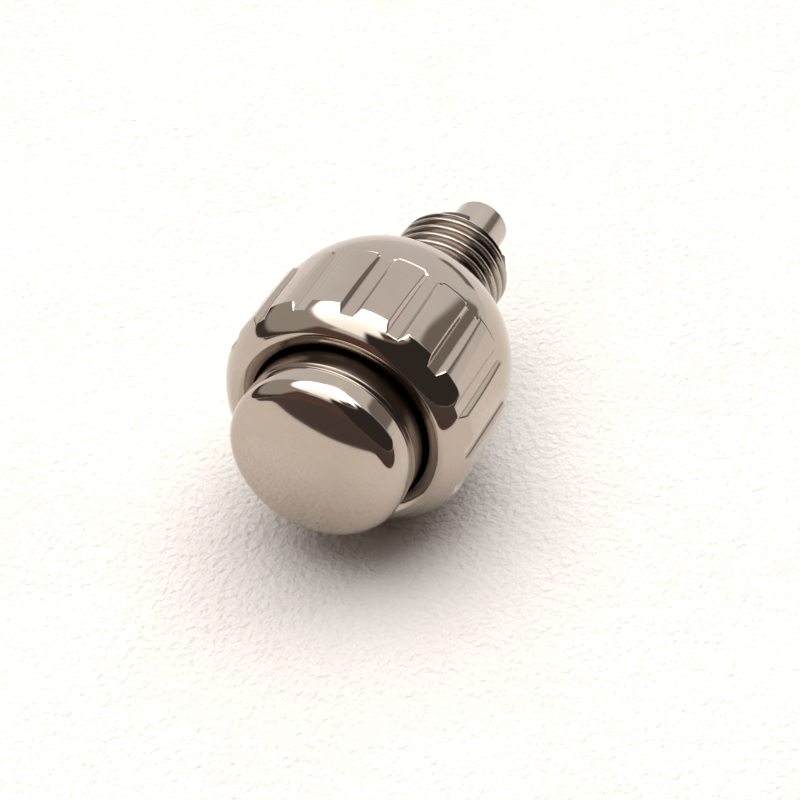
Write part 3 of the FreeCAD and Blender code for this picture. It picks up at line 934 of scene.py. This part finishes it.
# Camera
# It looks down on the head's end at the photograph's angle. Right, upward and forward are its own
# axes, and the middle of the collar's rim lands on the pixel given here.
FRAME_PIXELS = 800
SENSOR = 36.0
look_down = math.radians(39.05)
focal_pixels, pixels_per_mm = 3500.0, 50.2
rim_pixel = (337.0, 428.2)
right = np.array([math.cos(axis_turn), math.sin(axis_turn), 0.0])
ahead = np.array([-math.sin(axis_turn), math.cos(axis_turn), 0.0])
forward = ahead * math.cos(look_down) - np.array([0, 0, math.sin(look_down)])
upward = np.cross(right, forward)
distance = focal_pixels / pixels_per_mm
offset = (np.array(rim_pixel) - FRAME_PIXELS / 2) / pixels_per_mm
rim_centre = np.array([0, collar_front, 0])
eye = rim_centre - right * offset[0] + upward * offset[1] - forward * distance
camera_data = bpy.data.cameras.new("camera")
camera_data.sensor_width = SENSOR
camera_data.lens = focal_pixels / FRAME_PIXELS * SENSOR
camera_data.clip_start = 0.001
camera_data.clip_end = 10.0
camera = bpy.data.objects.new("camera", camera_data)
bpy.context.scene.collection.objects.link(camera)
turn_to = np.eye(4)
turn_to[:3] = np.stack([right, upward, -forward, eye * MM], 1)
camera.matrix_world = Matrix(turn_to.tolist())
bpy.context.scene.camera = camera


# Light
# A room as a polished part sees it: a bright ceiling, brightest ahead, over a grey wall on the
# left, dark walls on the right and behind the camera, and a few pieces of furniture.
world = bpy.data.worlds.new("room")
bpy.context.scene.world = world
world.use_nodes = True
tree = world.node_tree
background = tree.nodes["Background"]
direction = add_node(tree, "TexCoord").outputs["Generated"]
parts = add_node(tree, "SeparateXYZ", Vector=direction)
east, north, height = (Value(tree, parts.outputs[i]) for i in range(3))
DEGREES = 180 / math.pi
elevation = height.math("ARCSINE") * DEGREES
azimuth = east.math("ARCTAN2", north) * DEGREES


def patch(color, under, azimuths, elevations, soft):
    """Paint a soft-edged block of the room over what is already there, in degrees. Azimuth 0 is
    +Y and 90 is +X. Soft is the width of the edge."""
    low, high = azimuths
    middle, half = (low + high) / 2, (high - low) / 2
    off = (azimuth + (180 - middle)).math("FLOORED_MODULO", 360.0) - 180
    off = off.math("ABSOLUTE")
    share = off.within(half + soft / 2, half - soft / 2)
    bottom, top = elevations
    share = share * elevation.within(bottom - soft / 2, bottom + soft / 2)
    share = share * elevation.within(top + soft / 2, top - soft / 2)
    return mixed(tree, share, under, (*color, 1))


low_room = (0.94, 0.92, 0.90, 1)
dim_ceiling, bright_ceiling = (1.9, 1.87, 1.84, 1), (4.2, 4.18, 4.15, 1)
ceiling = mixed(tree, north.within(-0.7, 0.7), dim_ceiling, bright_ceiling)
room = mixed(tree, elevation.within(45, 49), low_room, ceiling)
left_wall, far_shelf, far_box = (0.52, 0.48, 0.44), (0.28, 0.25, 0.22), (0.26, 0.23, 0.20)
left_skirting, right_wall = (0.08, 0.065, 0.055), (0.05, 0.042, 0.038)
right_rail, back_wall = (0.15, 0.085, 0.065), (0.16, 0.095, 0.075)
room = patch(left_wall, room, azimuths=(-150, -52), elevations=(-5, 46), soft=6)
room = patch(far_shelf, room, azimuths=(31, 48), elevations=(8, 32), soft=4)
room = patch(far_box, room, azimuths=(-3, 15), elevations=(-6, 7), soft=3)
room = patch(left_skirting, room, azimuths=(-150, -60), elevations=(-6, 9), soft=5)
room = patch(right_wall, room, azimuths=(50, 180), elevations=(-8, 60), soft=8)
room = patch(right_rail, room, azimuths=(90, 150), elevations=(58, 70), soft=8)
room = patch(back_wall, room, azimuths=(172, 222), elevations=(-8, 36), soft=8)
tree.links.new(room, background.inputs["Color"])
background.inputs["Strength"].default_value = 1.0

view = bpy.context.scene.view_settings
view.view_transform = "Standard"
